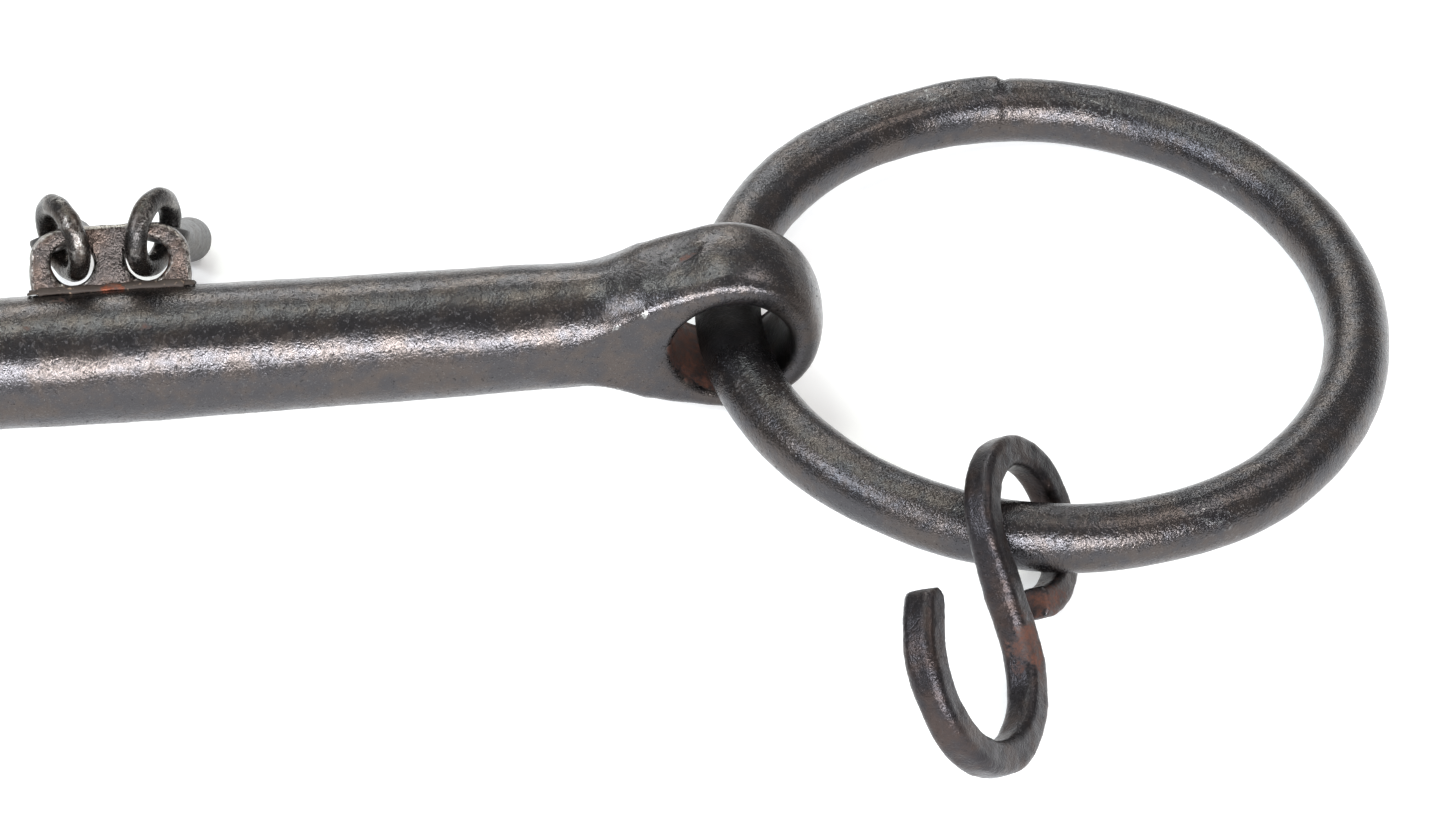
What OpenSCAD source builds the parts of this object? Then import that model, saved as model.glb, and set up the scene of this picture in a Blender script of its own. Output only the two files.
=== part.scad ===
// Straight-bar driving bit with loose rings, a key plate and S-hooks.
// X runs along the mouthpiece, Y goes from the near side to the far side, Z is up.
// The table the bit lies on is Z = 0; the origin is under the middle of the whole bit.

/* [Mouthpiece] */
// Distance between the centres of the two eyes
eye_span = 145; // [120:0.1:180]
// Diameter of the bar at its middle
bar_mid_d = 15.9; // [11:0.1:20]
// Diameter of the bar where the flare to the eye begins
bar_end_d = 14.9; // [10:0.1:20]
// Outside diameter of each eye
eye_d = 22.6; // [18:0.1:30]
// Thickness of each eye, measured along its bore
eye_t = 12.4; // [8:0.1:18]
// Diameter of the bore of each eye
eye_bore_d = 15; // [12:0.1:20]
// Bevel on each rim of the bore
eye_bevel = 0.9; // [0.4:0.1:2]
// Length of the concave flare between bar and eye
flare_len = 17; // [12:0.5:24]
// Distance from the eye centre at which the flattening of the neck begins
neck_len = 26; // [18:0.5:36]
// How far the bar lies behind the middle of the whole bit as it rests
bar_y = 13.6; // [0:0.1:30]

/* [Bit rings] */
// Outside diameter of each bit ring
ring_od = 83.8; // [64:0.5:110]
// Diameter of the round stock of each bit ring
ring_stock_d = 8; // [6:0.1:10]
// Gap left under the ring where it lies in the bottom of the eye
ring_seat_gap = 0.9; // [0.4:0.1:1.5]
// How far each ring droops away from the eye, in degrees
ring_droop = 2.8; // [0:0.1:5]
// How far the near side of each ring is propped up, in degrees
ring_prop = 2.8; // [0:0.1:6]
// How far each ring trails back from the line of the bar, in degrees
ring_trail = 2.2; // [0:0.1:6]
// How far each ring has slid outward in its eye
ring_pull = 0.3; // [0:0.1:1]
// How far each ring has slid towards the near side in its eye
ring_slide = 0.7; // [0:0.1:2]

/* [S-hooks] */
// Side of the square stock of each S-hook
hook_stock = 3.7; // [3:0.1:6]
// Flat worn on each corner of the stock
hook_bevel = 0.6; // [0.3:0.1:1.2]
// Length over which the tip of the open hook is hammered down
hook_tip = 1.9; // [0.5:0.1:4]
// Room left inside the closed loop round the stock of the ring
hook_loop_play = 3; // [2.4:0.1:5]
// Centreline radius of the open hook
hook_open_r = 11.2; // [8:0.1:14]
// Length of the straight stem between loop and open hook
hook_stem = 10.8; // [0:0.1:16]
// How far the closed loop wraps round, in degrees
hook_loop_wrap = 288; // [270:1:330]
// How far the open hook wraps round, in degrees
hook_open_wrap = 237; // [200:1:270]
// Place of the hook round the ring, in degrees from the nearest point of the ring
hook_place = 14.2; // [0:0.1:30]
// Turn of the hook about the ring's stock, in degrees
hook_swing = -3.6; // [-60:0.1:60]
// Turn of the hook's flat away from the ring's, in degrees
hook_twist = 56.6; // [40:0.1:80]
// Turn of the hook in its own flat, in degrees
hook_roll = -12.3; // [-40:0.1:40]
// Height of the loop's centre above the middle of the ring's stock
hook_rise = 0.8; // [-1:0.1:1]
// How far the loop's centre is outward of the middle of the ring's stock
hook_out = -0.5; // [-1:0.1:1]

/* [Key plate] */
// Length of the plate along the bar
plate_w = 18.8; // [16:0.1:30]
// Height of the plate above the crown of the bar
plate_h = 7.5; // [7:0.1:12]
// Thickness of the plate
plate_t = 2.6; // [2:0.1:4]
// Radius of the two free corners
plate_corner_r = 4.2; // [2:0.1:5]
// Diameter of the two holes
plate_hole_d = 5.3; // [5:0.1:8]
// Distance between the two holes
plate_hole_span = 8.8; // [7:0.1:14]
// Metal left above each hole
plate_rim = 1.6; // [0.8:0.1:2.4]
// How far the plate leans back from upright, in degrees
plate_lean = 45; // [20:1:70]
// Width of the braze bead round the foot of the plate
braze_w = 0.7; // [0.4:0.1:1.5]

/* [Key rings and keys] */
// Wire diameter of the small rings
key_ring_wire_d = 2.6; // [2:0.1:3.2]
// Centreline radius of the small rings
key_ring_r = 4.1; // [3.8:0.1:6]
// How far the centre of a small ring is above its hole
key_ring_up = 3.1; // [0:0.1:4]
// How far the centre of a small ring is outward of its hole
key_ring_out = 0.9; // [0:0.1:2]
// How far the centre of a small ring is behind the middle of the plate
key_ring_back = 0.3; // [0:0.1:2]
// Lean of a small ring away from the middle, in degrees
key_ring_lean = 17; // [0:1:30]
// Turn of a small ring's flat out of the plate's, in degrees
key_ring_open = 66; // [45:1:90]
// Distance from the eye of a key to the middle of its bulb
key_len = 21.2; // [16:0.1:34]
// Swing of the right key towards the right, in degrees
key_right_swing = 4; // [0:1:25]
// Swing of the left key towards the right, in degrees
key_left_swing = 3; // [0:1:25]
// Diameter of the bulb of a key
key_bulb_d = 5.2; // [4:0.1:8]
// Diameter of the shank under the eye of a key
key_neck_d = 2.8; // [2:0.1:4]
// Play of the small ring in the eye of a key
key_eye_play = 0.7; // [0.5:0.1:1.2]
// Metal round the eye of a key
key_eye_wall = 0.9; // [0.7:0.1:1.6]
// Thickness of the eye of a key
key_eye_t = 2.4; // [1.6:0.1:3.6]

/* [Hidden] */
$fn = 96;
// Room beyond a surface for a cutting or bounding shape
clear = 1;

iron = [0.22, 0.20, 0.19];
worn_iron = [0.34, 0.32, 0.30];
braze = [0.55, 0.33, 0.20];

eye_r = eye_d / 2;
eye_x = eye_span / 2;
bar_z = eye_r;
bar_mid_r = bar_mid_d / 2;
bar_end_r = bar_end_d / 2;
flare_x = eye_x - flare_len;
// How far the flare's side outline stands off the round body, so that it only trims the corners
flare_skim = 0.05;
// How far outside the bar the flattening of the neck begins
neck_ease = 0.3;
neck_x = eye_x - neck_len;
neck_end_x = neck_x + neck_len / 2;
flare_end_x = eye_x - eye_r / 2;
// Shares of the eye's radius at which the flare runs into the eye: height, and corner of its section
flare_end_share = 0.86;
flare_corner_share = 0.93;
flare_end_r = eye_r * flare_end_share;
flare_corner_r = eye_r * flare_corner_share;
// Radius of the rounded rim of the eye, for each millimetre of its thickness
rim_roundness = 1.4;
rim_r = eye_t * rim_roundness;
rim_deg = asin(eye_t / 2 / rim_r);

ring_stock_r = ring_stock_d / 2;
ring_r = ring_od / 2 - ring_stock_r;
ring_z = bar_z - eye_bore_d / 2 + ring_seat_gap + ring_stock_r;

hook_half = hook_stock / 2;
hook_loop_r = ring_stock_r + hook_half + hook_loop_play;
// Half width of the tip after hammering, as a share of half the stock
hook_tip_share = 0.35;
hook_tip_flat = hook_half * hook_tip_share;
// How far the stem runs into the loop and the open hook
hook_lap = 0.05;
// How far the hammered faces of the tip are drawn past their ends, as a share of their length
hook_tip_past = 0.3;
hook_pitch = sqrt(pow(hook_stem, 2) + pow(hook_loop_r + hook_open_r, 2));
stem_deg = 270 - acos((hook_loop_r + hook_open_r) / hook_pitch);

plate_top = bar_mid_r + plate_h;
// Thickness of the braze bead at its outer edge, over the crown of the bar
braze_edge = 0.1;
plate_hole_w = plate_top - plate_rim - plate_hole_d / 2;

key_taper_deg = asin((key_bulb_d - key_neck_d) / 2 / key_len);
key_eye_id = key_ring_wire_d + key_eye_play;
key_eye_od = key_eye_id + 2 * key_eye_wall;

// Half outline of the flare, from the end of the bar into the metal of the eye
function flare_points(end_r, steps = 5) =
    [for (i = [0 : steps])
        let (t = i / steps)
        [bar_end_r + (end_r - bar_end_r) * t * t * (3 - 2 * t), flare_x + t * (flare_end_x - flare_x)]];

// Round body of one half of the bar with the rounded corners of the flare
module half_bar_round() {
    rotate([0, 90, 0])
        rotate_extrude()
            polygon(concat([[0, 0], [bar_mid_r, 0]], flare_points(flare_corner_r), [[0, flare_end_x]]));
}

// Outline seen from the near side: clear of the bar, then the concave flare
module half_bar_side() {
    wide = bar_mid_r + clear;
    upper = [for (p = flare_points(flare_end_r)) [p[1], p[0] + flare_skim]];
    lower = [for (i = [len(upper) - 1 : -1 : 0]) [upper[i][0], -upper[i][1]]];
    rotate([90, 0, 0])
        linear_extrude(height = 2 * (eye_r + clear), center = true)
            polygon(concat([[-clear, wide], [flare_x - clear, wide]], upper, lower,
                           [[flare_x - clear, -wide], [-clear, -wide]]));
}

// Outline seen from above: clear of the bar, drawn down to the eye's thickness at the neck
module half_bar_plan() {
    wide = bar_mid_r + clear;
    neck_half = bar_end_r + neck_ease;
    linear_extrude(height = 2 * (eye_r + clear), center = true)
        polygon([[-clear, -wide], [neck_x, -wide], [neck_x, -neck_half], [neck_end_x, -eye_t / 2],
                 [eye_x, -eye_t / 2], [eye_x, eye_t / 2], [neck_end_x, eye_t / 2],
                 [neck_x, neck_half], [neck_x, wide], [-clear, wide]]);
}

// Half section of the eye's solid disc: its rim is rounded from face to face
function eye_section(steps = 8) =
    concat([[0, -eye_t / 2]],
           [for (i = [0 : steps])
               let (a = -rim_deg + 2 * rim_deg * i / steps)
               [eye_r - rim_r + rim_r * cos(a), rim_r * sin(a)]],
           [[0, eye_t / 2]]);

// Solid disc of the eye, before it is bored
module eye_disc() {
    translate([eye_x, 0, 0])
        rotate([90, 0, 0])
            rotate_extrude()
                polygon(eye_section());
}

// Through bore of the eye with a bevel on each rim
module eye_bore() {
    bore_r = eye_bore_d / 2;
    translate([eye_x, 0, 0])
        rotate([90, 0, 0]) {
            cylinder(r = bore_r, h = eye_t + 2 * clear, center = true);
            for (side = [-1, 1])
                translate([0, 0, side * (eye_t / 2 - eye_bevel / 2)])
                    cylinder(r1 = bore_r + (side < 0 ? eye_bevel : 0),
                             r2 = bore_r + (side < 0 ? 0 : eye_bevel),
                             h = eye_bevel, center = true);
        }
}

// One half of the forged mouthpiece, drawn about its own axis
module half_bar() {
    difference() {
        union() {
            intersection() {
                half_bar_round();
                half_bar_side();
                half_bar_plan();
            }
            eye_disc();
        }
        eye_bore();
    }
}

// Mouthpiece: one forging, a straight bar with an eye at each end
module mouthpiece_bar() {
    color(iron)
        translate([0, bar_y, bar_z]) {
            half_bar();
            mirror([1, 0, 0])
                half_bar();
        }
}

// Moves a shape from the bar's axis to the leaning line on which the key plate stands
module on_plate_line() {
    translate([0, bar_y, bar_z])
        rotate([-plate_lean, 0, 0])
            children();
}

// Flat outline of the key plate, before its foot is coped to the bar
module plate_outline() {
    difference() {
        union() {
            translate([-plate_w / 2, 0])
                square([plate_w, plate_top - plate_corner_r]);
            translate([-plate_w / 2 + plate_corner_r, 0])
                square([plate_w - 2 * plate_corner_r, plate_top]);
            for (side = [-1, 1])
                translate([side * (plate_w / 2 - plate_corner_r), plate_top - plate_corner_r])
                    circle(r = plate_corner_r);
        }
        for (side = [-1, 1])
            translate([side * plate_hole_span / 2, plate_hole_w])
                circle(d = plate_hole_d);
    }
}

// Key plate: two-hole lug whose foot is coped to the round of the bar
module key_plate() {
    color(iron)
        difference() {
            on_plate_line()
                rotate([90, 0, 0])
                    linear_extrude(height = plate_t, center = true)
                        plate_outline();
            mouthpiece_bar();
        }
}

// Block of filler round the foot of the plate, sloped on every side
module braze_block() {
    foot_w = plate_w + 2 * braze_w;
    foot_t = plate_t + 2 * braze_w;
    rise = bar_mid_r + braze_edge;
    intersection() {
        rotate([90, 0, 0])
            linear_extrude(height = foot_t + 2 * clear, center = true)
                polygon([[-foot_w / 2, 0], [foot_w / 2, 0], [foot_w / 2, rise],
                         [plate_w / 2, rise + braze_w], [-plate_w / 2, rise + braze_w], [-foot_w / 2, rise]]);
        rotate([90, 0, 90])
            linear_extrude(height = foot_w + 2 * clear, center = true)
                polygon([[-foot_t / 2, 0], [foot_t / 2, 0], [foot_t / 2, rise],
                         [plate_t / 2, rise + braze_w], [-plate_t / 2, rise + braze_w], [-foot_t / 2, rise]]);
    }
}

// Braze bead: filler run round the foot of the key plate
module plate_braze() {
    color(braze)
        difference() {
            on_plate_line()
                braze_block();
            mouthpiece_bar();
            on_plate_line()
                cube([plate_w, plate_t, 2 * plate_top], center = true);
        }
}

// Moves a shape from the ring's own frame to the right-hand eye.
// In that frame the ring touches the Y axis at the origin and lies towards +X.
module at_right_eye() {
    translate([eye_x + ring_pull, bar_y - ring_slide, ring_z])
        rotate([-ring_prop, ring_droop, ring_trail])
            children();
}

// Bit ring, right
module ring_right() {
    color(worn_iron)
        at_right_eye()
            translate([ring_r, 0, 0])
                rotate_extrude()
                    translate([ring_r, 0])
                        circle(r = ring_stock_r);
}

// Bit ring, left
module ring_left() {
    mirror([1, 0, 0])
        ring_right();
}

// Section of the hook's square stock with its corners worn flat
module hook_section() {
    a = hook_half;
    b = hook_half - hook_bevel;
    polygon([[a, -b], [a, b], [b, a], [-b, a], [-a, b], [-a, -b], [-b, -a], [b, -a]]);
}

// Part of a circle of hook stock, from one angle for so many degrees
module hook_arc(radius, from, wrap) {
    rotate([0, 0, from])
        rotate_extrude(angle = wrap)
            translate([radius, 0])
                hook_section();
}

// Straight length of hook stock, running along X from the origin
module hook_bar(length) {
    rotate([90, 0, 90])
        linear_extrude(height = length)
            hook_section();
}

// What the hammer took off both corners of the open hook's tip
module hook_tip_cuts() {
    past = hook_tip_past * hook_tip;
    spread = hook_tip_past * (hook_half - hook_tip_flat);
    outside = hook_half + clear;
    translate([0, -hook_pitch, 0])
        rotate([0, 0, stem_deg - 180 - hook_open_wrap])
            for (side = [-1, 1])
                linear_extrude(height = 2 * hook_stock, center = true)
                    translate([hook_open_r, 0])
                        polygon([[side * (hook_half + spread), hook_tip + past],
                                 [side * (hook_tip_flat - spread), -past],
                                 [side * outside, -past],
                                 [side * outside, hook_tip + past]]);
}

// S-hook in its own plane: closed loop about the origin, open hook towards -Y
module s_hook_flat() {
    hook_arc(hook_loop_r, stem_deg - hook_loop_wrap, hook_loop_wrap);
    translate([hook_loop_r * cos(stem_deg), hook_loop_r * sin(stem_deg), 0])
        rotate([0, 0, stem_deg + 90])
            translate([-hook_lap, 0, 0])
                hook_bar(hook_stem + 2 * hook_lap);
    difference() {
        translate([0, -hook_pitch, 0])
            hook_arc(hook_open_r, stem_deg - 180 - hook_open_wrap, hook_open_wrap);
        hook_tip_cuts();
    }
}

// S-hook, right: its loop goes round the near side of the ring
module s_hook_right() {
    color(iron)
        at_right_eye()
            translate([ring_r, 0, 0])
                rotate([0, 0, -hook_place])
                    translate([0, -ring_r - hook_out, hook_rise])
                        rotate([hook_swing, hook_twist, hook_roll])
                            s_hook_flat();
}

// S-hook, left
module s_hook_left() {
    mirror([1, 0, 0])
        s_hook_right();
}

// Moves a shape to the rim above one hole of the plate: X along the bar, Y up the plate,
// Z out of its near face
module at_plate_hole(side) {
    on_plate_line()
        translate([side * plate_hole_span / 2, 0, plate_hole_w])
            rotate([90, 0, 0])
                children();
}

// Small ring standing through the hole on the given side, before it is placed
module key_ring(tilt, open_deg) {
    rotate([0, 0, tilt])
        rotate([0, open_deg, 0])
            rotate_extrude()
                translate([key_ring_r, 0])
                    circle(d = key_ring_wire_d);
}

// Small ring, right
module key_ring_right() {
    color(worn_iron)
        at_plate_hole(1)
            translate([key_ring_out, key_ring_up, -key_ring_back])
                key_ring(-key_ring_lean, key_ring_open);
}

// Small ring, left
module key_ring_left() {
    color(worn_iron)
        at_plate_hole(-1)
            translate([-key_ring_out, key_ring_up, -key_ring_back])
                key_ring(key_ring_lean, -key_ring_open);
}

// Key in its own frame: eye about the origin with its hole along Y, bulb towards -Z
module key_blank() {
    difference() {
        union() {
            rotate([90, 0, 0])
                cylinder(d = key_eye_od, h = key_eye_t, center = true);
            translate([0, 0, -key_len])
                cylinder(r1 = key_bulb_d / 2 * cos(key_taper_deg), r2 = key_neck_d / 2, h = key_len);
            translate([0, 0, -key_len])
                sphere(d = key_bulb_d);
        }
        rotate([90, 0, 0])
            cylinder(d = key_eye_id, h = key_eye_t + key_neck_d + 2 * clear, center = true);
    }
}

// Moves a key from its own frame to the far strand of the small ring on the given side
module at_key_ring(side) {
    at_plate_hole(side)
        translate([side * key_ring_out, key_ring_up, -key_ring_back])
            rotate([0, 0, -side * key_ring_lean])
                rotate([0, side * key_ring_open, 0])
                    translate([side * key_ring_r, 0, 0])
                        children();
}

// Key, right
module key_right() {
    color(iron)
        at_key_ring(1)
            rotate([0, -key_ring_open - key_right_swing, 0])
                key_blank();
}

// Key, left
module key_left() {
    color(iron)
        at_key_ring(-1)
            rotate([0, key_ring_open - key_left_swing, 0])
                key_blank();
}

mouthpiece_bar();
key_plate();
plate_braze();
ring_right();
ring_left();
s_hook_right();
s_hook_left();
key_ring_right();
key_ring_left();
key_right();
key_left();
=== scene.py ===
"""Looks of a hand-forged driving bit: straight bar, loose rings, key plate with drop keys, S-hooks."""
import math

import bmesh
import bpy
from mathutils import Euler, Matrix, Vector, noise


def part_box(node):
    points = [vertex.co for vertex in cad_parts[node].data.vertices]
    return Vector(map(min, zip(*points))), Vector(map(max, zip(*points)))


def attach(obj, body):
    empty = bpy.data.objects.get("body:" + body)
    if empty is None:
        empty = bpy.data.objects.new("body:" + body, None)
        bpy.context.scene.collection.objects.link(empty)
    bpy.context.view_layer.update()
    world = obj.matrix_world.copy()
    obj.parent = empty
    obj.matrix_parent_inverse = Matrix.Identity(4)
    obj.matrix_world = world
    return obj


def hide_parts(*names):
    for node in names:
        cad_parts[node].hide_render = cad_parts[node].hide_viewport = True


MM = 0.001

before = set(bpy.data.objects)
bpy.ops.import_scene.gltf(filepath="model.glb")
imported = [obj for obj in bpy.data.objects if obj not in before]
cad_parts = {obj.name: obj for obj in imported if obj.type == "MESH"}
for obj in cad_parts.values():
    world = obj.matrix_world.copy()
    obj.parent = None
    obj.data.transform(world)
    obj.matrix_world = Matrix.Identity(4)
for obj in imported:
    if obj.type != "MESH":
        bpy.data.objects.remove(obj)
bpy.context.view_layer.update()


# ---------------------------------------------------------------- camera, floor and light

def aim_camera():
    """Camera above the near side, looking down at the right-hand half of the bit."""
    view = bpy.data.cameras.new("camera")
    view.sensor_width = 36
    view.sensor_fit = "HORIZONTAL"
    view.lens = 118.816
    view.clip_start = 0.01
    view.clip_end = 20
    camera = bpy.data.objects.new("camera", view)
    camera.location = (0.034262, -0.380780, 0.418690)
    camera.rotation_euler = (math.radians(43), 0, math.radians(-5.45))
    bpy.context.scene.collection.objects.link(camera)
    bpy.context.scene.camera = camera


FLOOR_DROP = 0.25 * MM


def lay_floor():
    """Plain pale floor, wide enough for every view, a hair below the lowest hammer marks."""
    bm = bmesh.new()
    bmesh.ops.create_grid(bm, x_segments=8, y_segments=8, size=4,
                          matrix=Matrix.Translation((0, 0, -FLOOR_DROP)))
    floor = finish_mesh(bm, "floor")
    mat = bpy.data.materials.new("pale_floor")
    mat.use_nodes = True
    shader = mat.node_tree.nodes["Principled BSDF"]
    shader.inputs["Base Color"].default_value = (0.9, 0.9, 0.9, 1)
    shader.inputs["Roughness"].default_value = 0.9
    shader.inputs["Specular IOR Level"].default_value = 0.1
    shader.inputs["Emission Color"].default_value = (1, 1, 1, 1)
    shader.inputs["Emission Strength"].default_value = 0.30
    floor.data.materials.append(mat)


LIT_POINT = Vector((70, 0, 10)) * MM


def add_panel(name, bearing, height_deg, distance, width, height, power, colour):
    """Soft light panel facing the bit's right-hand half, from a compass bearing and a height."""
    flat, up = math.radians(bearing), math.radians(height_deg)
    away = Vector((math.sin(flat) * math.cos(up), math.cos(flat) * math.cos(up), math.sin(up)))
    light = bpy.data.lights.new(name, "AREA")
    light.shape = "RECTANGLE"
    light.size = width
    light.size_y = height
    light.energy = power
    light.color = colour
    lamp = bpy.data.objects.new(name, light)
    lamp.location = LIT_POINT + away * distance
    lamp.rotation_euler = away.to_track_quat("Z", "Y").to_euler()
    bpy.context.scene.collection.objects.link(lamp)


def light_studio():
    """Soft panels on the near side, behind, on the left, overhead and on the right; pale surround."""
    add_panel("panel_near", 180, 28, 1.0, 0.90, 0.11, 17, (0.95, 0.97, 1.0))
    add_panel("panel_far", -4, 31, 1.0, 0.60, 0.10, 3.4, (0.96, 1.0, 0.97))
    add_panel("panel_left", 253, 44, 1.0, 0.50, 0.16, 6, (0.86, 0.93, 1.0))
    add_panel("panel_top", -31, 68, 1.0, 0.40, 0.12, 2.4, (0.92, 1.0, 0.93))
    add_panel("panel_right", 80, 60, 1.2, 0.30, 0.30, 3, (1.0, 0.95, 0.90))
    world = bpy.data.worlds.new("surround")
    world.use_nodes = True
    back = world.node_tree.nodes["Background"]
    back.inputs["Color"].default_value = (1.0, 0.985, 0.985, 1)
    back.inputs["Strength"].default_value = 0.36
    bpy.context.scene.world = world
    bpy.context.scene.view_settings.view_transform = "Standard"


# ---------------------------------------------------------------- meshes

def finish_mesh(bm, name):
    """New object at the origin from a finished bmesh, shaded smooth."""
    mesh = bpy.data.meshes.new(name)
    bm.to_mesh(mesh)
    bm.free()
    mesh.shade_smooth()
    obj = bpy.data.objects.new(name, mesh)
    bpy.context.scene.collection.objects.link(obj)
    return obj


SEAM = 0.002 * MM


def even_skin(node, grain):
    """Merged copy of a CAD node, given an even skin of small faces of the given size."""
    bm = bmesh.new()
    bm.from_mesh(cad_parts[node].data)
    bmesh.ops.remove_doubles(bm, verts=bm.verts, dist=SEAM)
    rough = finish_mesh(bm, "blank_" + node)
    skin = rough.modifiers.new("skin", "REMESH")
    skin.mode = "VOXEL"
    skin.voxel_size = grain
    skin.adaptivity = 0
    ready = bpy.data.meshes.new_from_object(rough.evaluated_get(bpy.context.evaluated_depsgraph_get()))
    bpy.data.objects.remove(rough)
    bm = bmesh.new()
    bm.from_mesh(ready)
    bpy.data.meshes.remove(ready)
    return bm


def soften(bm, times, chosen=lambda v: True):
    """Rounds off ridges and corners, as years of handling do, where chosen(vertex) is true."""
    part = [v for v in bm.verts if chosen(v)]
    for _ in range(times):
        bmesh.ops.smooth_vert(bm, verts=part, factor=0.5,
                              use_axis_x=True, use_axis_y=True, use_axis_z=True)


def cloud(point, span, seed):
    """Smooth noise from 0 to 1 whose lumps are about span across."""
    return 0.5 + 0.5 * noise.noise(point / span + Vector((seed * 7.3, seed * 3.1, seed * 5.7)))


def hammer(bm, depth, span, seed):
    """Hammer dents: moves the surface in and out, by up to depth from hollow to crown."""
    press(bm, lambda v: depth * (cloud(v.co, span, seed) - 0.5))


def press(bm, amount):
    """Moves each vertex along its normal by amount(vertex), in metres."""
    bm.normal_update()
    moves = [(v, v.normal * amount(v)) for v in bm.verts]
    for vert, move in moves:
        vert.co += move


def mark(bm, name, value, smooth=0):
    """Stores value(vertex), clipped to 0..1, as an attribute that a finish reads."""
    layer = bm.verts.layers.float.new(name)
    for vert in bm.verts:
        vert[layer] = min(1, max(0, value(vert)))
    for _ in range(smooth):
        means = [(v, sum(e.other_vert(v)[layer] for e in v.link_edges) / len(v.link_edges))
                 for v in bm.verts]
        for vert, mean in means:
            vert[layer] = 0.5 * vert[layer] + 0.5 * mean


def proudness(vert):
    """Curvature at a vertex, per millimetre: positive on ridges, negative in hollows."""
    total = 0
    for edge in vert.link_edges:
        step = edge.other_vert(vert).co - vert.co
        total -= 2 * step.dot(vert.normal) / step.length_squared
    return total / len(vert.link_edges) * MM


def add_piece(bm, name, node, body, finish):
    """Puts a finished piece on its body in place of a CAD node."""
    piece = finish_mesh(bm, name)
    piece.data.materials.append(finish)
    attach(piece, body)
    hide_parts(node)
    return piece


def along(point, start, end):
    """(share of the way from start to end, distance off that line) for a point."""
    line = end - start
    share = (point - start).dot(line) / line.length_squared
    return share, (point - start - line * share).length


# ---------------------------------------------------------------- finishes

class Socket:
    """A shader socket. Arithmetic on it adds Math nodes, and make() adds any other node."""

    def __init__(self, tree, socket=None):
        self.tree = tree
        self.socket = socket

    def make(self, kind, settings=None, inputs=None, output=0):
        """New node: its settings first, then the values or links of its sockets."""
        made = self.tree.nodes.new(kind)
        for name, value in (settings or {}).items():
            setattr(made, name, value)
        for name, value in (inputs or {}).items():
            if isinstance(value, Socket):
                self.tree.links.new(value.socket, made.inputs[name])
            else:
                made.inputs[name].default_value = value
        return Socket(self.tree, made.outputs[output] if made.outputs else None)

    def math(self, operation, first, second, clip=False):
        return self.make("ShaderNodeMath", {"operation": operation, "use_clamp": clip},
                         {0: first, 1: second})

    def __add__(self, other):
        return self.math("ADD", self, other)

    def __radd__(self, other):
        return self.math("ADD", other, self)

    def __sub__(self, other):
        return self.math("SUBTRACT", self, other)

    def __rsub__(self, other):
        return self.math("SUBTRACT", other, self)

    def __mul__(self, other):
        return self.math("MULTIPLY", self, other)

    def __rmul__(self, other):
        return self.math("MULTIPLY", other, self)

    def clip(self):
        return self.math("ADD", self, 0, clip=True)


def speckle(place, scale, detail=3, roughness=0.55):
    """Noise over the surface; scale is lumps per metre."""
    return place.make("ShaderNodeTexNoise", None,
                      {"Vector": place, "Scale": scale, "Detail": detail, "Roughness": roughness})


def step(value, low, high):
    """0 below low, 1 above high, smooth between."""
    return value.make("ShaderNodeMapRange", {"interpolation_type": "SMOOTHSTEP"},
                      {"Value": value, "From Min": low, "From Max": high})


def tint(amount, under, over):
    """Colour over laid on colour under, by amount."""
    sockets = {0: amount, 6: under, 7: over}
    return amount.make("ShaderNodeMix", {"data_type": "RGBA"}, sockets, output=2)


PIT_BLACK = (0.010, 0.009, 0.009, 1)
# Near-black colour painted where the bit lies in shade: inside the eyes' bores and on the rings within
# the eyes
SHADE_BLACK = (0.006, 0.005, 0.005, 1)
DARK_RUST = (0.032, 0.013, 0.009, 1)
RED_RUST = (0.105, 0.030, 0.013, 1)
BARE_BRAZE = (0.15, 0.045, 0.024, 1)
BROWN_BRAZE = (0.046, 0.034, 0.028, 1)
BRIGHT_BRAZE = (0.40, 0.28, 0.20, 1)
IRON_RELIEF = 0.22 * MM
BRAZE_RELIEF = 0.25 * MM


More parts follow.
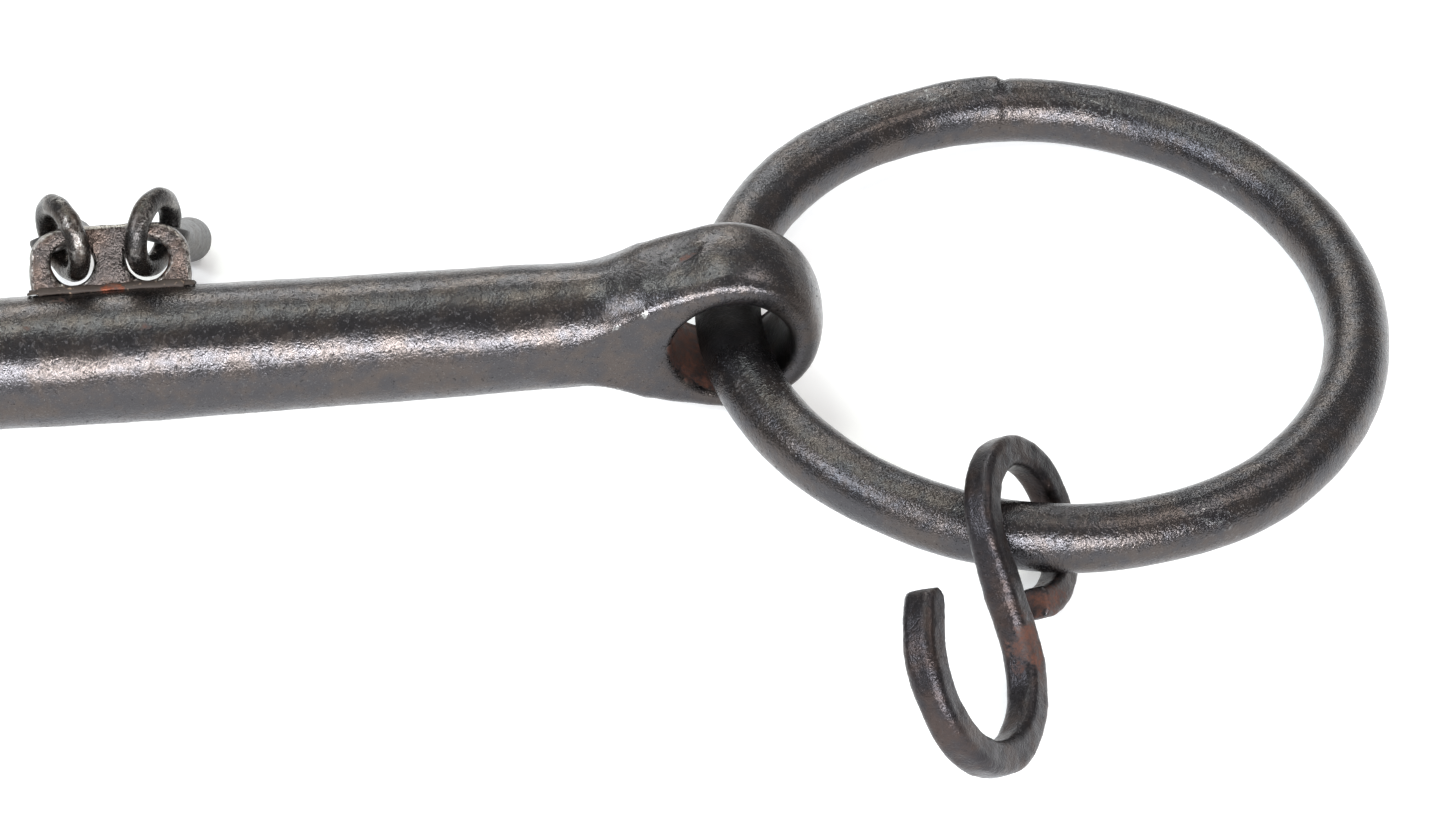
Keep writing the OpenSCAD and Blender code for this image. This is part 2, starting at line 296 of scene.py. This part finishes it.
def forged_iron(name, dark, warm, bright, gloss=0.30, grit=0.6, rust_spread=1.0):
    """Old hand-forged iron: dark scale, brown patina, rubbed bright grain, rust in the hollows, and
    shade painted near black from a vertex attribute.
    """
    mat = bpy.data.materials.new(name)
    mat.use_nodes = True
    tree = mat.node_tree
    tree.nodes.clear()
    start = Socket(tree)
    place = start.make("ShaderNodeTexCoord", output="Object")
    rust_mark = start.make("ShaderNodeAttribute", {"attribute_name": "rust"}, output="Fac")
    wear_mark = start.make("ShaderNodeAttribute", {"attribute_name": "wear"}, output="Fac")
    # Mark of where shade is painted: inside the bores and on the rings within the eyes
    painted_shade = start.make("ShaderNodeAttribute", {"attribute_name": "painted_shade"}, output="Fac")

    broad = speckle(place, 130, 4, 0.6)
    patch = speckle(place, 480, 4, 0.6)
    grain = speckle(place, 1900, 3, 0.65)
    sand = speckle(place, 4200, 2, 0.5)

    patina = step(broad * 0.55 + patch * 0.45, 0.42, 0.60)
    rubbed = step(wear_mark * 0.9 + grain * 0.8 + patch * 0.25, 0.84, 1.10)
    pits = step(grain * 0.55 + sand * 0.45, 0.575, 0.66)
    rust = step(rust_mark * rust_spread + (patch - 0.5) * 0.9 + (grain - 0.5) * 0.5, 0.30, 0.66)

    colour = tint(patina, dark, warm)
    colour = tint(rubbed * 0.8, colour, bright)
    colour = tint(step(sand, 0.60, 0.70) * 0.10, colour, bright)
    colour = tint(pits * 0.65, colour, PIT_BLACK)
    red = tint(step(grain * 0.5 + patch * 0.5, 0.42, 0.64), DARK_RUST, RED_RUST)
    colour = tint(rust * 0.80, colour, red)
    # Painted shade: darkens the colour towards near black, and roughens it, where the shade mark is set
    colour = tint(painted_shade * 0.85, colour, SHADE_BLACK)

    rough = gloss + (patch - 0.5) * 0.16 + (grain - 0.5) * 0.25
    rough = rough + pits * 0.25 + rust * 0.35 + painted_shade * 0.35
    height = broad * 0.3 + patch * 0.35 + grain * grit + sand * (0.9 * grit) - pits * 0.3
    bump = start.make("ShaderNodeBump", None,
                      {"Height": height, "Strength": 0.55, "Distance": IRON_RELIEF})
    shader = start.make("ShaderNodeBsdfPrincipled", None, {
        "Base Color": colour,
        "Metallic": 0.95 - rust * 0.75,
        "Roughness": rough.clip(),
        "Normal": bump,
    })
    start.make("ShaderNodeOutputMaterial", None, {"Surface": shader})
    return mat


def brazed_brass(name):
    """Old braze: tarnished brown like the iron, orange only where it is bare."""
    mat = bpy.data.materials.new(name)
    mat.use_nodes = True
    tree = mat.node_tree
    tree.nodes.clear()
    start = Socket(tree)
    place = start.make("ShaderNodeTexCoord", output="Object")
    patch = speckle(place, 500, 4, 0.6)
    grain = speckle(place, 1800, 3, 0.6)
    bare = start.make("ShaderNodeAttribute", {"attribute_name": "bare"}, output="Fac")
    tarnish = 1.0 - step(bare + (patch - 0.5) * 1.2, 0.45, 0.62)
    colour = tint(tarnish, BARE_BRAZE, BROWN_BRAZE)
    colour = tint(step(grain, 0.62, 0.70) * 0.6, colour, BRIGHT_BRAZE)
    bump = start.make("ShaderNodeBump", None,
                      {"Height": patch + grain * 0.5, "Strength": 0.6, "Distance": BRAZE_RELIEF})
    shader = start.make("ShaderNodeBsdfPrincipled", None, {
        "Base Color": colour,
        "Metallic": 0.75 - tarnish * 0.35,
        "Roughness": (0.42 + tarnish * 0.25).clip(),
        "Normal": bump,
    })
    start.make("ShaderNodeOutputMaterial", None, {"Surface": shader})
    return mat


# ---------------------------------------------------------------- mouthpiece

# The eye's bore and how far wear has spread its metal
EYE_X = 72.5 * MM
BAR_Y = 13.6 * MM
BAR_Z = 11.3 * MM
BORE_R = 7.5 * MM
BORE_SKIN = 0.3 * MM
MOUTH_REACH = 3.2 * MM
MOUTH_CLOSE = 0.42 * MM
EYE_WALL = 4.5 * MM
EYE_REACH = 10 * MM
FLARE_REACH = 13 * MM
EYE_SPREAD = 0.20 * MM
# The forging lap over the right eye, the ridge below it, and spots of rust by the plate
LAP_START = Vector((65.3, 12.7, 21.3)) * MM
LAP_END = Vector((69.9, 14.3, 22.2)) * MM
LAP_WIDTH = 0.9 * MM
LAP_LEAST = 0.05 * MM
LAP_DEPTH = 0.35 * MM
LIP_WIDTH = 0.5 * MM
LIP_HEIGHT = 0.10 * MM
RIDGE_START = Vector((56.9, 8.1, 16.6)) * MM
RIDGE_END = Vector((61.8, 9.1, 19.3)) * MM
RIDGE_WIDTH = 0.8 * MM
RIDGE_HEIGHT = 0.05 * MM
RUST_SPOTS = ((Vector((4.5, 11.0, 18.8)) * MM, 2.4 * MM),
              (Vector((-9.4, 11.5, 18.8)) * MM, 2.0 * MM),
              (Vector((-5.9, 16.1, 18.8)) * MM, 2.6 * MM))


def off_eye(point):
    """Distance of a point from the axis of the nearer eye's bore."""
    return math.hypot(abs(point.x) - EYE_X, point.z - BAR_Z)


def in_bore(point):
    """1 on the wall of an eye's bore, 0 elsewhere."""
    return 1 if off_eye(point) < BORE_R + BORE_SKIN else 0


def bore_rust(point):
    """Rust on the bore's wall: most on the side towards the bar and at the bottom."""
    inward = (EYE_X - abs(point.x)) / BORE_R
    below = (BAR_Z - point.z) / BORE_R
    return in_bore(point) * max(0, 0.35 + 0.30 * inward + 0.25 * below)


def close_mouth(bm):
    """Draws the metal round each bore in over its bevel, most at the top, as wear has spread it."""
    for vert in bm.verts:
        off = off_eye(vert.co)
        share = 1 - max(0, off - BORE_R) / MOUTH_REACH
        if share <= 0:
            continue
        above = (vert.co.z - BAR_Z) / off
        closed = (off - MOUTH_CLOSE * (1 + above) * share) / off
        vert.co.x += (math.copysign(EYE_X, vert.co.x) - vert.co.x) * (1 - closed)
        vert.co.z += (BAR_Z - vert.co.z) * (1 - closed)


def spots(point, places):
    """Sum of round spots at a point, each a (centre, reach)."""
    return sum(max(0, 1 - (point - centre).length / reach) for centre, reach in places)


def near_eye(point):
    """Whether a point is on an eye rather than on the bar."""
    return off_eye(point) < BORE_R + EYE_WALL


def lap_depth(point):
    """Depth of the forging lap over the right eye, 0 to 1: a narrow lens."""
    share, off = along(point, LAP_START, LAP_END)
    if share < 0 or share > 1:
        return 0
    reach = LAP_WIDTH * math.sin(math.pi * share)
    return max(0, 1 - off / max(reach, LAP_LEAST))


def lap_lip(point):
    """Rubbed lips on both sides of the lap, 0 to 1."""
    share, off = along(point, LAP_START, LAP_END)
    beyond = abs(off - 1.25 * LAP_WIDTH)
    return max(0, 1 - beyond / LIP_WIDTH) if -0.1 < share < 1.1 else 0


def ridge(point):
    """Fine ridge in the flare below the right eye, 0 to 1."""
    share, off = along(point, RIDGE_START, RIDGE_END)
    return max(0, 1 - off / RIDGE_WIDTH) if 0 < share < 1 else 0


def forge_mouthpiece():
    """The bar with its eyes: hammered all over, rubbed along its ridges, lapped over one eye."""
    bm = even_skin("mouthpiece_bar", 0.44 * MM)
    soften(bm, 5)
    soften(bm, 14, lambda v: abs(v.co.x) > EYE_X - FLARE_REACH)
    soften(bm, 40, lambda v: abs(v.co.x) > EYE_X - EYE_REACH)
    press(bm, lambda v: EYE_SPREAD * min(1, max(0, (abs(v.co.x) - EYE_X) / (6 * MM) + 2))
          * (1 - in_bore(v.co)))
    close_mouth(bm)
    bm.normal_update()
    mark(bm, "wear", lambda v: (proudness(v) * 2.2 - 0.25) * (0.3 if near_eye(v.co) else 1)
         + 0.7 * lap_lip(v.co) + 0.25 * ridge(v.co), smooth=3)
    mark(bm, "rust", lambda v: bore_rust(v.co) + 0.9 * lap_depth(v.co) + 0.6 * spots(v.co, RUST_SPOTS)
         + 0.30 * plate_foot(v.co) - proudness(v) * 0.3 - 0.05, smooth=2)
    # Painted shade inside each eye's bore, less where the bore is rusty
    mark(bm, "painted_shade", lambda v: 0.6 * in_bore(v.co) - bore_rust(v.co), smooth=3)
    hammer(bm, 0.34 * MM, 8 * MM, 1)
    hammer(bm, 0.09 * MM, 2.2 * MM, 2)
    press(bm, lambda v: RIDGE_HEIGHT * ridge(v.co) + LIP_HEIGHT * lap_lip(v.co)
          - LAP_DEPTH * lap_depth(v.co))
    return add_piece(bm, "forged_mouthpiece", "mouthpiece_bar", "mouthpiece", IRON_BAR)


HOLE_X = 4.4 * MM
HOLE_UP = 11.2 * MM
HOLE_R = 2.65 * MM
RIM_WIDTH = 0.9 * MM
FOOT_OUT = 5.6 * MM
PLATE_HALF_WIDTH = 9.4 * MM
FOOT_REACH = 3.5 * MM


def plate_foot(point):
    """Nearness to the foot of the key plate, 0 to 1."""
    off = (point - Vector((point.x, BAR_Y + FOOT_OUT, BAR_Z + FOOT_OUT))).length
    side = max(0, abs(point.x) - PLATE_HALF_WIDTH)
    return max(0, 1 - math.hypot(off, side) / FOOT_REACH)


def hole_rim(point):
    """Nearness to the rim of the nearer hole of the plate, 0 to 1."""
    up = (point.y - BAR_Y + point.z - BAR_Z) / math.sqrt(2)
    off = math.hypot(abs(point.x) - HOLE_X, up - HOLE_UP)
    return max(0, 1 - abs(off - HOLE_R) / RIM_WIDTH)


def forge_key_plate():
    """Two-hole plate, its corners worn round and its holes rusty inside."""
    bm = even_skin("key_plate", 0.2 * MM)
    soften(bm, 22)
    press(bm, lambda v: 0.08 * MM)
    bm.normal_update()
    mark(bm, "wear", lambda v: 0.08 + proudness(v) * 0.6, smooth=3)
    mark(bm, "rust", lambda v: 0.06 + 0.55 * hole_rim(v.co) - proudness(v) * 0.35, smooth=3)
    hammer(bm, 0.22 * MM, 2.2 * MM, 11)
    hammer(bm, 0.10 * MM, 0.9 * MM, 12)
    return add_piece(bm, "forged_key_plate", "key_plate", "mouthpiece", IRON_PLATE)


BEAD_FULL = 8.5 * MM
BARE_REACH = 8 * MM


def run_braze():
    """Bead of braze round the plate's foot, uneven as it ran."""
    bm = even_skin("plate_braze", 0.14 * MM)
    soften(bm, 16)
    press(bm, lambda v: (0.06 if abs(v.co.x) < BEAD_FULL else -0.20) * MM)
    mark(bm, "bare", lambda v: 0.75 * cloud(v.co, 4 * MM, 22) * (1 - abs(v.co.x) / BARE_REACH),
         smooth=2)
    hammer(bm, 0.34 * MM, 1.6 * MM, 21)
    return add_piece(bm, "braze_bead", "plate_braze", "mouthpiece", BRAZE)


# ---------------------------------------------------------------- bit rings

RING_R = 37.9 * MM
RING_STOCK_R = 4 * MM
RING_TILT = Euler((math.radians(-2.8), math.radians(2.8), math.radians(2.2)))
WELD_LENGTH_DEG = 17
FLAT_LENGTH_DEG = 70
FLAT_FACES_DEG = 93
FLAT_HALF_DEG = 26
WELD_SWELL = 0.42 * MM
WELD_CREASE = 0.22 * MM
# How far along the ring the painted shade reaches on either side of the eye it passes through
EYE_SHADE_REACH = 7 * MM
EYE_CALM = 14 * MM


def ring_frame(node, side):
    """Place of a ring: its own flat is XY, and its eye lies towards -X."""
    low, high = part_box(node)
    centre = (low + high) / 2
    place = Matrix.Translation(Vector((centre.x * side, centre.y, centre.z)))
    return Matrix.Scale(side, 4, (1, 0, 0)) @ (place @ RING_TILT.to_matrix().to_4x4())


def weld_swell(past, section_deg):
    """Swelling of the stock past the tip of the scarf weld: steep at the tip, fading away from it."""
    if past < 0 or past > WELD_LENGTH_DEG:
        return 0
    rise = min(1, past / 0.8)
    fade = min(1, (WELD_LENGTH_DEG - past) / (0.7 * WELD_LENGTH_DEG))
    outer = 0.5 + 0.5 * math.cos(math.radians(section_deg - 60))
    return rise * fade * outer


def weld_crease(past, section_deg):
    """Crease where the tip of the scarf was hammered down, on the upper and outer side."""
    outer = max(0, math.cos(math.radians(section_deg - 80)))
    wander = 2.2 * math.sin(math.radians(section_deg * 2))
    return max(0, 1 - abs(past + wander * 0.4) / 0.7) * outer


def hammered_flat(past, section_deg):
    """Share of the radius taken off where the stock was hammered flat beyond the weld."""
    if past < 0 or past > FLAT_LENGTH_DEG:
        return 0
    off = abs(section_deg - FLAT_FACES_DEG)
    if off > FLAT_HALF_DEG:
        return 0
    fade = min(1, past / 2, (FLAT_LENGTH_DEG - past) / 30)
    return fade * (1 - math.cos(math.radians(FLAT_HALF_DEG)) / math.cos(math.radians(off)))


def forge_ring(name, node, body, side, weld_deg, seed):
    """Ring of round stock, hammered, with a scarf weld on its far side."""
    bm = bmesh.new()
    section = Matrix.Translation((RING_R, 0, 0)) @ Matrix.Rotation(math.pi / 2, 4, "X")
    bmesh.ops.create_circle(bm, segments=56, radius=RING_STOCK_R, matrix=section)
    bmesh.ops.spin(bm, geom=bm.verts[:] + bm.edges[:], cent=(0, 0, 0), axis=(0, 0, 1),
                   dvec=(0, 0, 0), angle=2 * math.pi, steps=420, use_merge=True)
    bmesh.ops.remove_doubles(bm, verts=bm.verts, dist=SEAM / 2)
    bmesh.ops.recalc_face_normals(bm, faces=bm.faces)

    def dents(vert):
        """Movement of a vertex of the round ring, out or in, in the ring's own frame."""
        point = vert.co
        round_deg = math.degrees(math.atan2(point.y, point.x))
        section_deg = math.degrees(math.atan2(point.z, math.hypot(point.x, point.y) - RING_R))
        past = (round_deg - weld_deg) % 360
        near_weld = past - 360 if past > 180 else past
        calm = min(1, abs(point.y) / EYE_CALM) if point.x < 0 else 1
        swell = WELD_SWELL * weld_swell(past, section_deg)
        crease = WELD_CREASE * weld_crease(near_weld, section_deg)
        flat = 0.7 * RING_STOCK_R * hammered_flat(past, section_deg)
        broad = 0.36 * MM * (cloud(point, 11 * MM, seed) - 0.5)
        small = 0.13 * MM * (cloud(point, 3 * MM, seed + 1) - 0.5)
        return swell - crease - flat + (broad + small) * calm

    press(bm, dents)
    bm.normal_update()
    mark(bm, "wear", lambda v: 0.12 + 0.5 * cloud(v.co, 9 * MM, seed + 2) - 0.2, smooth=1)
    mark(bm, "rust", lambda v: 0.45 * cloud(v.co, 14 * MM, seed + 3) - 0.18, smooth=1)
    # Painted shade on the stretch of ring that passes through the eye, darkest in the middle of the
    # bore
    mark(bm, "painted_shade", lambda v: 1.6 * (1 - abs(v.co.y) / EYE_SHADE_REACH) if v.co.x < 0 else 0, smooth=2)
    bmesh.ops.transform(bm, matrix=ring_frame(node, side), verts=bm.verts)
    bmesh.ops.recalc_face_normals(bm, faces=bm.faces)
    return add_piece(bm, name, node, body, IRON_RING)


# ---------------------------------------------------------------- hooks, small rings and keys

HOOK_SPOTS = ((Vector((101.9, -37.4, 7.9)) * MM, 5 * MM),
              (Vector((106.0, -29.5, 5.2)) * MM, 6 * MM))
CLOSE_GAP = 6 * MM
SLACK_REACH = 5 * MM


def forge_hook(name, node, body, side, seed):
    """S-hook of square stock with worn corners, rusty at the foot of its stem and at its loop's end."""
    bm = even_skin(node, 0.26 * MM)
    soften(bm, 7)
    low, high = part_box(node.replace("s_hook", "ring"))
    middle = (low + high) / 2

    def slack(vert):
        """0 where the hook's loop runs close to the ring, 1 well away from it."""
        gap = abs((vert.co - middle).length - RING_R)
        return min(1, max(0, (gap - CLOSE_GAP) / SLACK_REACH))

    press(bm, lambda v: (0.22 * slack(v) - 0.05) * MM)
    bm.normal_update()
    mark(bm, "wear", lambda v: proudness(v) * 0.24 - 0.12, smooth=2)
    mark(bm, "rust", lambda v: 0.45 * cloud(v.co, 9 * MM, seed) - proudness(v) * 0.10 - 0.12
         + 0.7 * spots(Vector((v.co.x * side, v.co.y, v.co.z)), HOOK_SPOTS), smooth=2)
    press(bm, lambda v: 0.42 * MM * slack(v) * (cloud(v.co, 4.5 * MM, seed + 1) - 0.5))
    hammer(bm, 0.14 * MM, 1.6 * MM, seed + 2)
    return add_piece(bm, name, node, body, IRON_HOOK)


def forge_small_ring(name, node, body, seed):
    """Small ring of worn wire."""
    bm = even_skin(node, 0.15 * MM)
    soften(bm, 6)
    press(bm, lambda v: 0.04 * MM)
    bm.normal_update()
    mark(bm, "wear", lambda v: 0.25 + 0.6 * (cloud(v.co, 2 * MM, seed) - 0.4), smooth=1)
    mark(bm, "rust", lambda v: 0.5 * cloud(v.co, 3 * MM, seed + 5) - 0.12, smooth=1)
    hammer(bm, 0.20 * MM, 2 * MM, seed + 1)
    return add_piece(bm, name, node, body, IRON_SMALL)


KEY_BULB_TOP = 10 * MM


def forge_key(name, node, body, seed):
    """Drop key with its dull round bulb."""
    bm = even_skin(node, 0.17 * MM)
    soften(bm, 16)
    press(bm, lambda v: 0.35 * MM * min(1, max(0, (KEY_BULB_TOP - v.co.z) / KEY_BULB_TOP)))
    bm.normal_update()
    mark(bm, "wear", lambda v: 0.15)
    mark(bm, "rust", lambda v: 0.35 * cloud(v.co, 4 * MM, seed) - 0.1 - proudness(v) * 0.3, smooth=2)
    hammer(bm, 0.12 * MM, 1.8 * MM, seed + 1)
    return add_piece(bm, name, node, body, IRON_KEY)


# ---------------------------------------------------------------- build

IRON_BAR = forged_iron("bar_iron_worn", (0.060, 0.057, 0.060, 1), (0.078, 0.066, 0.061, 1),
                       (0.40, 0.40, 0.39, 1), gloss=0.25, grit=0.4)
IRON_RING = forged_iron("ring_iron_worn", (0.058, 0.056, 0.060, 1), (0.076, 0.065, 0.061, 1),
                        (0.36, 0.36, 0.36, 1), gloss=0.23)
IRON_HOOK = forged_iron("hook_iron_rusty", (0.038, 0.035, 0.038, 1), (0.054, 0.041, 0.038, 1),
                        (0.15, 0.15, 0.15, 1), gloss=0.33, rust_spread=1.1)
IRON_PLATE = forged_iron("plate_iron_rusty", (0.054, 0.046, 0.043, 1), (0.080, 0.058, 0.048, 1),
                         (0.40, 0.37, 0.34, 1), gloss=0.30, grit=0.9)
IRON_SMALL = forged_iron("small_ring_iron_worn", (0.050, 0.047, 0.046, 1), (0.075, 0.060, 0.051, 1),
                         (0.36, 0.34, 0.32, 1), gloss=0.28)
IRON_KEY = forged_iron("key_iron_dull", (0.10, 0.098, 0.098, 1), (0.11, 0.102, 0.096, 1),
                       (0.30, 0.30, 0.30, 1), gloss=0.46)
BRAZE = brazed_brass("braze_tarnished")

aim_camera()
lay_floor()
light_studio()
forge_mouthpiece()
forge_key_plate()
run_braze()
for side_name, side, weld_deg, seed in (("right", 1, 87.5, 31), ("left", -1, 40, 57)):
    forge_ring("forged_ring_" + side_name, "ring_" + side_name, "bit_ring_" + side_name,
               side, weld_deg, seed)
    forge_hook("forged_hook_" + side_name, "s_hook_" + side_name, "hook_" + side_name,
               side, seed + 100)
    forge_small_ring("wire_ring_" + side_name, "key_ring_" + side_name, "small_ring_" + side_name,
                     seed + 200)
    forge_key("forged_key_" + side_name, "key_" + side_name, "drop_key_" + side_name, seed + 300)

bpy.context.view_layer.update()
